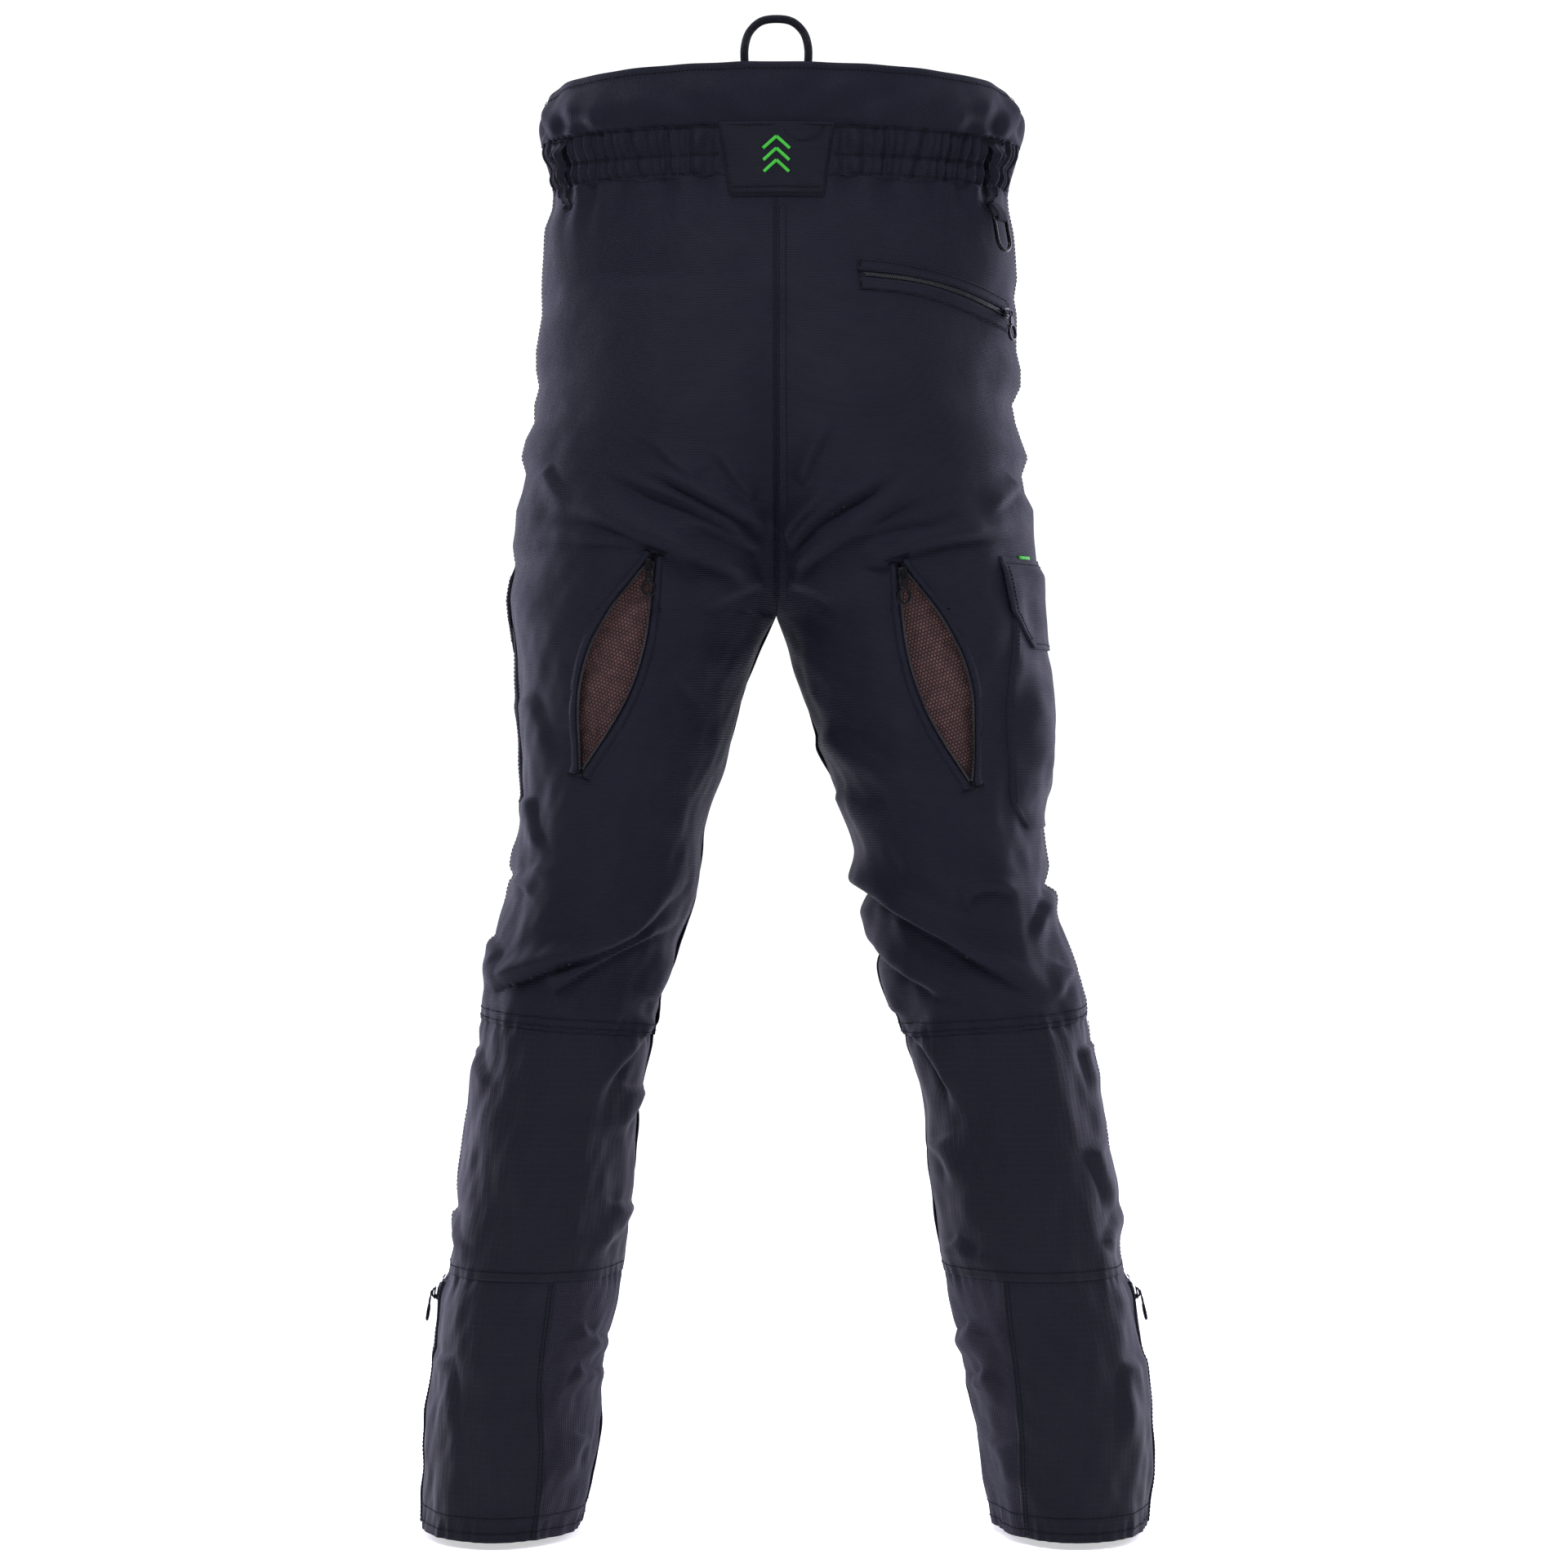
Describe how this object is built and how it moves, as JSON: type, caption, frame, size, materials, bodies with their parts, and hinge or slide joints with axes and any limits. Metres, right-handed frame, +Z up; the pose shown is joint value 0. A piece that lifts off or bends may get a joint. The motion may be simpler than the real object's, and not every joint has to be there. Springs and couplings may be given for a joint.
{
  "type": "chainsaw protection trousers",
  "caption": "Cut-resistant forestry trousers, open as worn, with a high back yoke, zipped thigh vents, a rear zip pocket, side cargo pockets and zipped leg ends.",
  "frame": {"origin": "middle of the waist, level with the top stitch of the back elastic", "axes": "+Z up along the body, -Y is the back, +X is the wearer's right"},
  "size_m": [0.6013, 0.251, 1.2074],
  "materials": {
    "shell": "fine ribbed stretch weave, slight sheen",
    "trim": "folded woven tape",
    "ripstop": "ripstop weave",
    "stretch_knit": "grid knit",
    "elastic_knit": "shirred elastic",
    "patch": "satin woven, green print",
    "netting": "open mesh",
    "lining": "plain lining",
    "padding": "layered protection felt",
    "cord": "braided cord",
    "zip_teeth": "moulded zip teeth on tape",
    "black_metal": "black lacquered metal"
  },
  "bodies": {
    "trousers": {"ankle_zip_left": "zip_teeth", "ankle_zip_right": "zip_teeth", "back_panel_left": "shell", "back_panel_right": "shell", "back_patch": "patch", "back_yoke": "shell", "belt_loop_back_left": "trim", "belt_loop_back_right": "trim", "belt_loop_front_left": "trim", "belt_loop_front_right": "trim", "calf_panel_left": "ripstop", "calf_panel_right": "ripstop", "cargo_pocket_left": "shell", "cargo_pocket_right": "shell", "d_ring_tab": "trim", "fly_placket": "trim", "fly_zip": "zip_teeth", "front_panel_left": "shell", "front_panel_right": "shell", "front_waistband": "shell", "gaiter_back_left": "ripstop", "gaiter_back_right": "ripstop", "gaiter_front_left": "ripstop", "gaiter_front_right": "ripstop", "gaiter_stretch_left": "stretch_knit", "gaiter_stretch_right": "stretch_knit", "hanging_loop": "cord", "protection_pad_left": "padding", "protection_pad_right": "padding", "rear_pocket_bag": "lining", "rear_pocket_welt_lower": "trim", "rear_pocket_welt_upper": "trim", "rear_pocket_zip": "zip_teeth", "shin_panel_left": "ripstop", "shin_panel_right": "ripstop", "vent_mesh_left": "netting", "vent_mesh_right": "netting", "waist_button": "black_metal", "waist_elastic_left": "elastic_knit", "waist_elastic_right": "elastic_knit"},
    "vent_slider_left": {"vent_slider_left": "black_metal"},
    "vent_pull_left": {"vent_pull_left": "black_metal"},
    "vent_lip_outer_left": {"vent_lip_outer_left": "trim"},
    "vent_lip_inner_left": {"vent_lip_inner_left": "trim"},
    "ankle_slider_left": {"ankle_slider_left": "black_metal"},
    "ankle_pull_left": {"ankle_pull_left": "black_metal"},
    "cargo_flap_left": {"cargo_flap_left": "shell"},
    "vent_slider_right": {"vent_slider_right": "black_metal"},
    "vent_pull_right": {"vent_pull_right": "black_metal"},
    "vent_lip_outer_right": {"vent_lip_outer_right": "trim"},
    "vent_lip_inner_right": {"vent_lip_inner_right": "trim"},
    "ankle_slider_right": {"ankle_slider_right": "black_metal"},
    "ankle_pull_right": {"ankle_pull_right": "black_metal"},
    "cargo_flap_right": {"cargo_flap_right": "shell"},
    "rear_pocket_slider": {"rear_pocket_slider": "black_metal"},
    "rear_pocket_pull": {"rear_pocket_pull": "black_metal"},
    "fly_slider": {"fly_slider": "black_metal"},
    "d_ring": {"d_ring": "black_metal"}
  },
  "joints": [
    {"name": "vent_slider_run_left", "type": "hinge", "parent": "trousers", "child": "vent_slider_left", "pos_m": [0.60098, 0.39133, -0.57131], "axis": [0.4838, -0.8039, -0.346], "range_deg": [0, 10.57]},
    {"name": "vent_pull_swing_left", "type": "hinge", "parent": "vent_slider_left", "child": "vent_pull_left", "pos_m": [-0.09958, -0.1315, -0.34457], "axis": [-0.9973, 0.0738, 0], "range_deg": [0, 150]},
    {"name": "vent_lip_outer_close_left", "type": "slide", "parent": "trousers", "child": "vent_lip_outer_left", "axis": [0.9356, -0.1327, -0.3272], "range_m": [0, 0.0197], "deforming": ["vent_lip_outer_left"]},
    {"name": "vent_lip_inner_close_left", "type": "slide", "parent": "trousers", "child": "vent_lip_inner_left", "axis": [-0.9356, 0.1327, 0.3272], "range_m": [0, 0.0197], "deforming": ["vent_lip_inner_left"]},
    {"name": "ankle_slider_run_left", "type": "hinge", "parent": "trousers", "child": "ankle_slider_left", "pos_m": [0.92592, 1.65046, -1.07126], "axis": [0.8016, -0.5913, -0.0878], "range_deg": [0, 4.86]},
    {"name": "ankle_pull_swing_left", "type": "hinge", "parent": "ankle_slider_left", "child": "ankle_pull_left", "pos_m": [-0.28099, -0.00202, -0.92721], "axis": [0, 1, 0], "range_deg": [0, 150]},
    {"name": "cargo_flap_lift_left", "type": "hinge", "parent": "trousers", "child": "cargo_flap_left", "pos_m": [-0.18221, 0.06744, -0.33392], "axis": [0.7124, 0.7018, 0], "range_deg": [0, 120], "deforming": ["cargo_flap_left"]},
    {"name": "vent_slider_run_right", "type": "hinge", "parent": "trousers", "child": "vent_slider_right", "pos_m": [-0.8501, 0.10047, -0.7199], "axis": [0.1376, 0.9613, 0.2386], "range_deg": [0, 9.22]},
    {"name": "vent_pull_swing_right", "type": "hinge", "parent": "vent_slider_right", "child": "vent_pull_right", "pos_m": [0.09939, -0.13083, -0.35076], "axis": [-0.9987, -0.051, 0], "range_deg": [0, 150]},
    {"name": "vent_lip_outer_close_right", "type": "slide", "parent": "trousers", "child": "vent_lip_outer_right", "axis": [-0.9414, -0.1134, -0.3176], "range_m": [0, 0.0197], "deforming": ["vent_lip_outer_right"]},
    {"name": "vent_lip_inner_close_right", "type": "slide", "parent": "trousers", "child": "vent_lip_inner_right", "axis": [0.9414, 0.1134, 0.3176], "range_m": [0, 0.0197], "deforming": ["vent_lip_inner_right"]},
    {"name": "ankle_slider_run_right", "type": "hinge", "parent": "trousers", "child": "ankle_slider_right", "pos_m": [-0.14548, 0.08304, -1.04928], "axis": [0.1787, 0.9829, 0.0441], "range_deg": [0, 21.73]},
    {"name": "ankle_pull_swing_right", "type": "hinge", "parent": "ankle_slider_right", "child": "ankle_pull_right", "pos_m": [0.29604, -0.00202, -0.92685], "axis": [0, -1, 0], "range_deg": [0, 150]},
    {"name": "cargo_flap_lift_right", "type": "hinge", "parent": "trousers", "child": "cargo_flap_right", "pos_m": [0.21169, 0.00669, -0.33396], "axis": [0.0715, -0.9974, 0], "range_deg": [0, 120], "deforming": ["cargo_flap_right"]},
    {"name": "rear_pocket_slider_run", "type": "hinge", "parent": "trousers", "child": "rear_pocket_slider", "pos_m": [0.03499, 0.05964, -0.17637], "axis": [0.0066, -0.3303, -0.9438], "range_deg": [0, 40.23]},
    {"name": "rear_pocket_pull_swing", "type": "hinge", "parent": "rear_pocket_slider", "child": "rear_pocket_pull", "pos_m": [0.18733, -0.05346, -0.13619], "axis": [-0.562, -0.8271, 0], "range_deg": [0, 150]},
    {"name": "fly_slider_run", "type": "slide", "parent": "trousers", "child": "fly_slider", "axis": [-0.001, -0.0023, -1], "range_m": [0, 0.13867]},
    {"name": "d_ring_swing", "type": "hinge", "parent": "trousers", "child": "d_ring", "pos_m": [0.17891, -0.0497, -0.06082], "axis": [-0.6229, -0.7823, 0], "range_deg": [0, 95]}
  ],
  "couplings": [
    {"joint": "vent_lip_outer_close_left", "follows": "vent_slider_run_left", "m_per_rad": 0.10567},
    {"joint": "vent_lip_inner_close_left", "follows": "vent_slider_run_left", "m_per_rad": 0.10567},
    {"joint": "vent_lip_outer_close_right", "follows": "vent_slider_run_right", "m_per_rad": 0.12116},
    {"joint": "vent_lip_inner_close_right", "follows": "vent_slider_run_right", "m_per_rad": 0.12116}
  ]
}
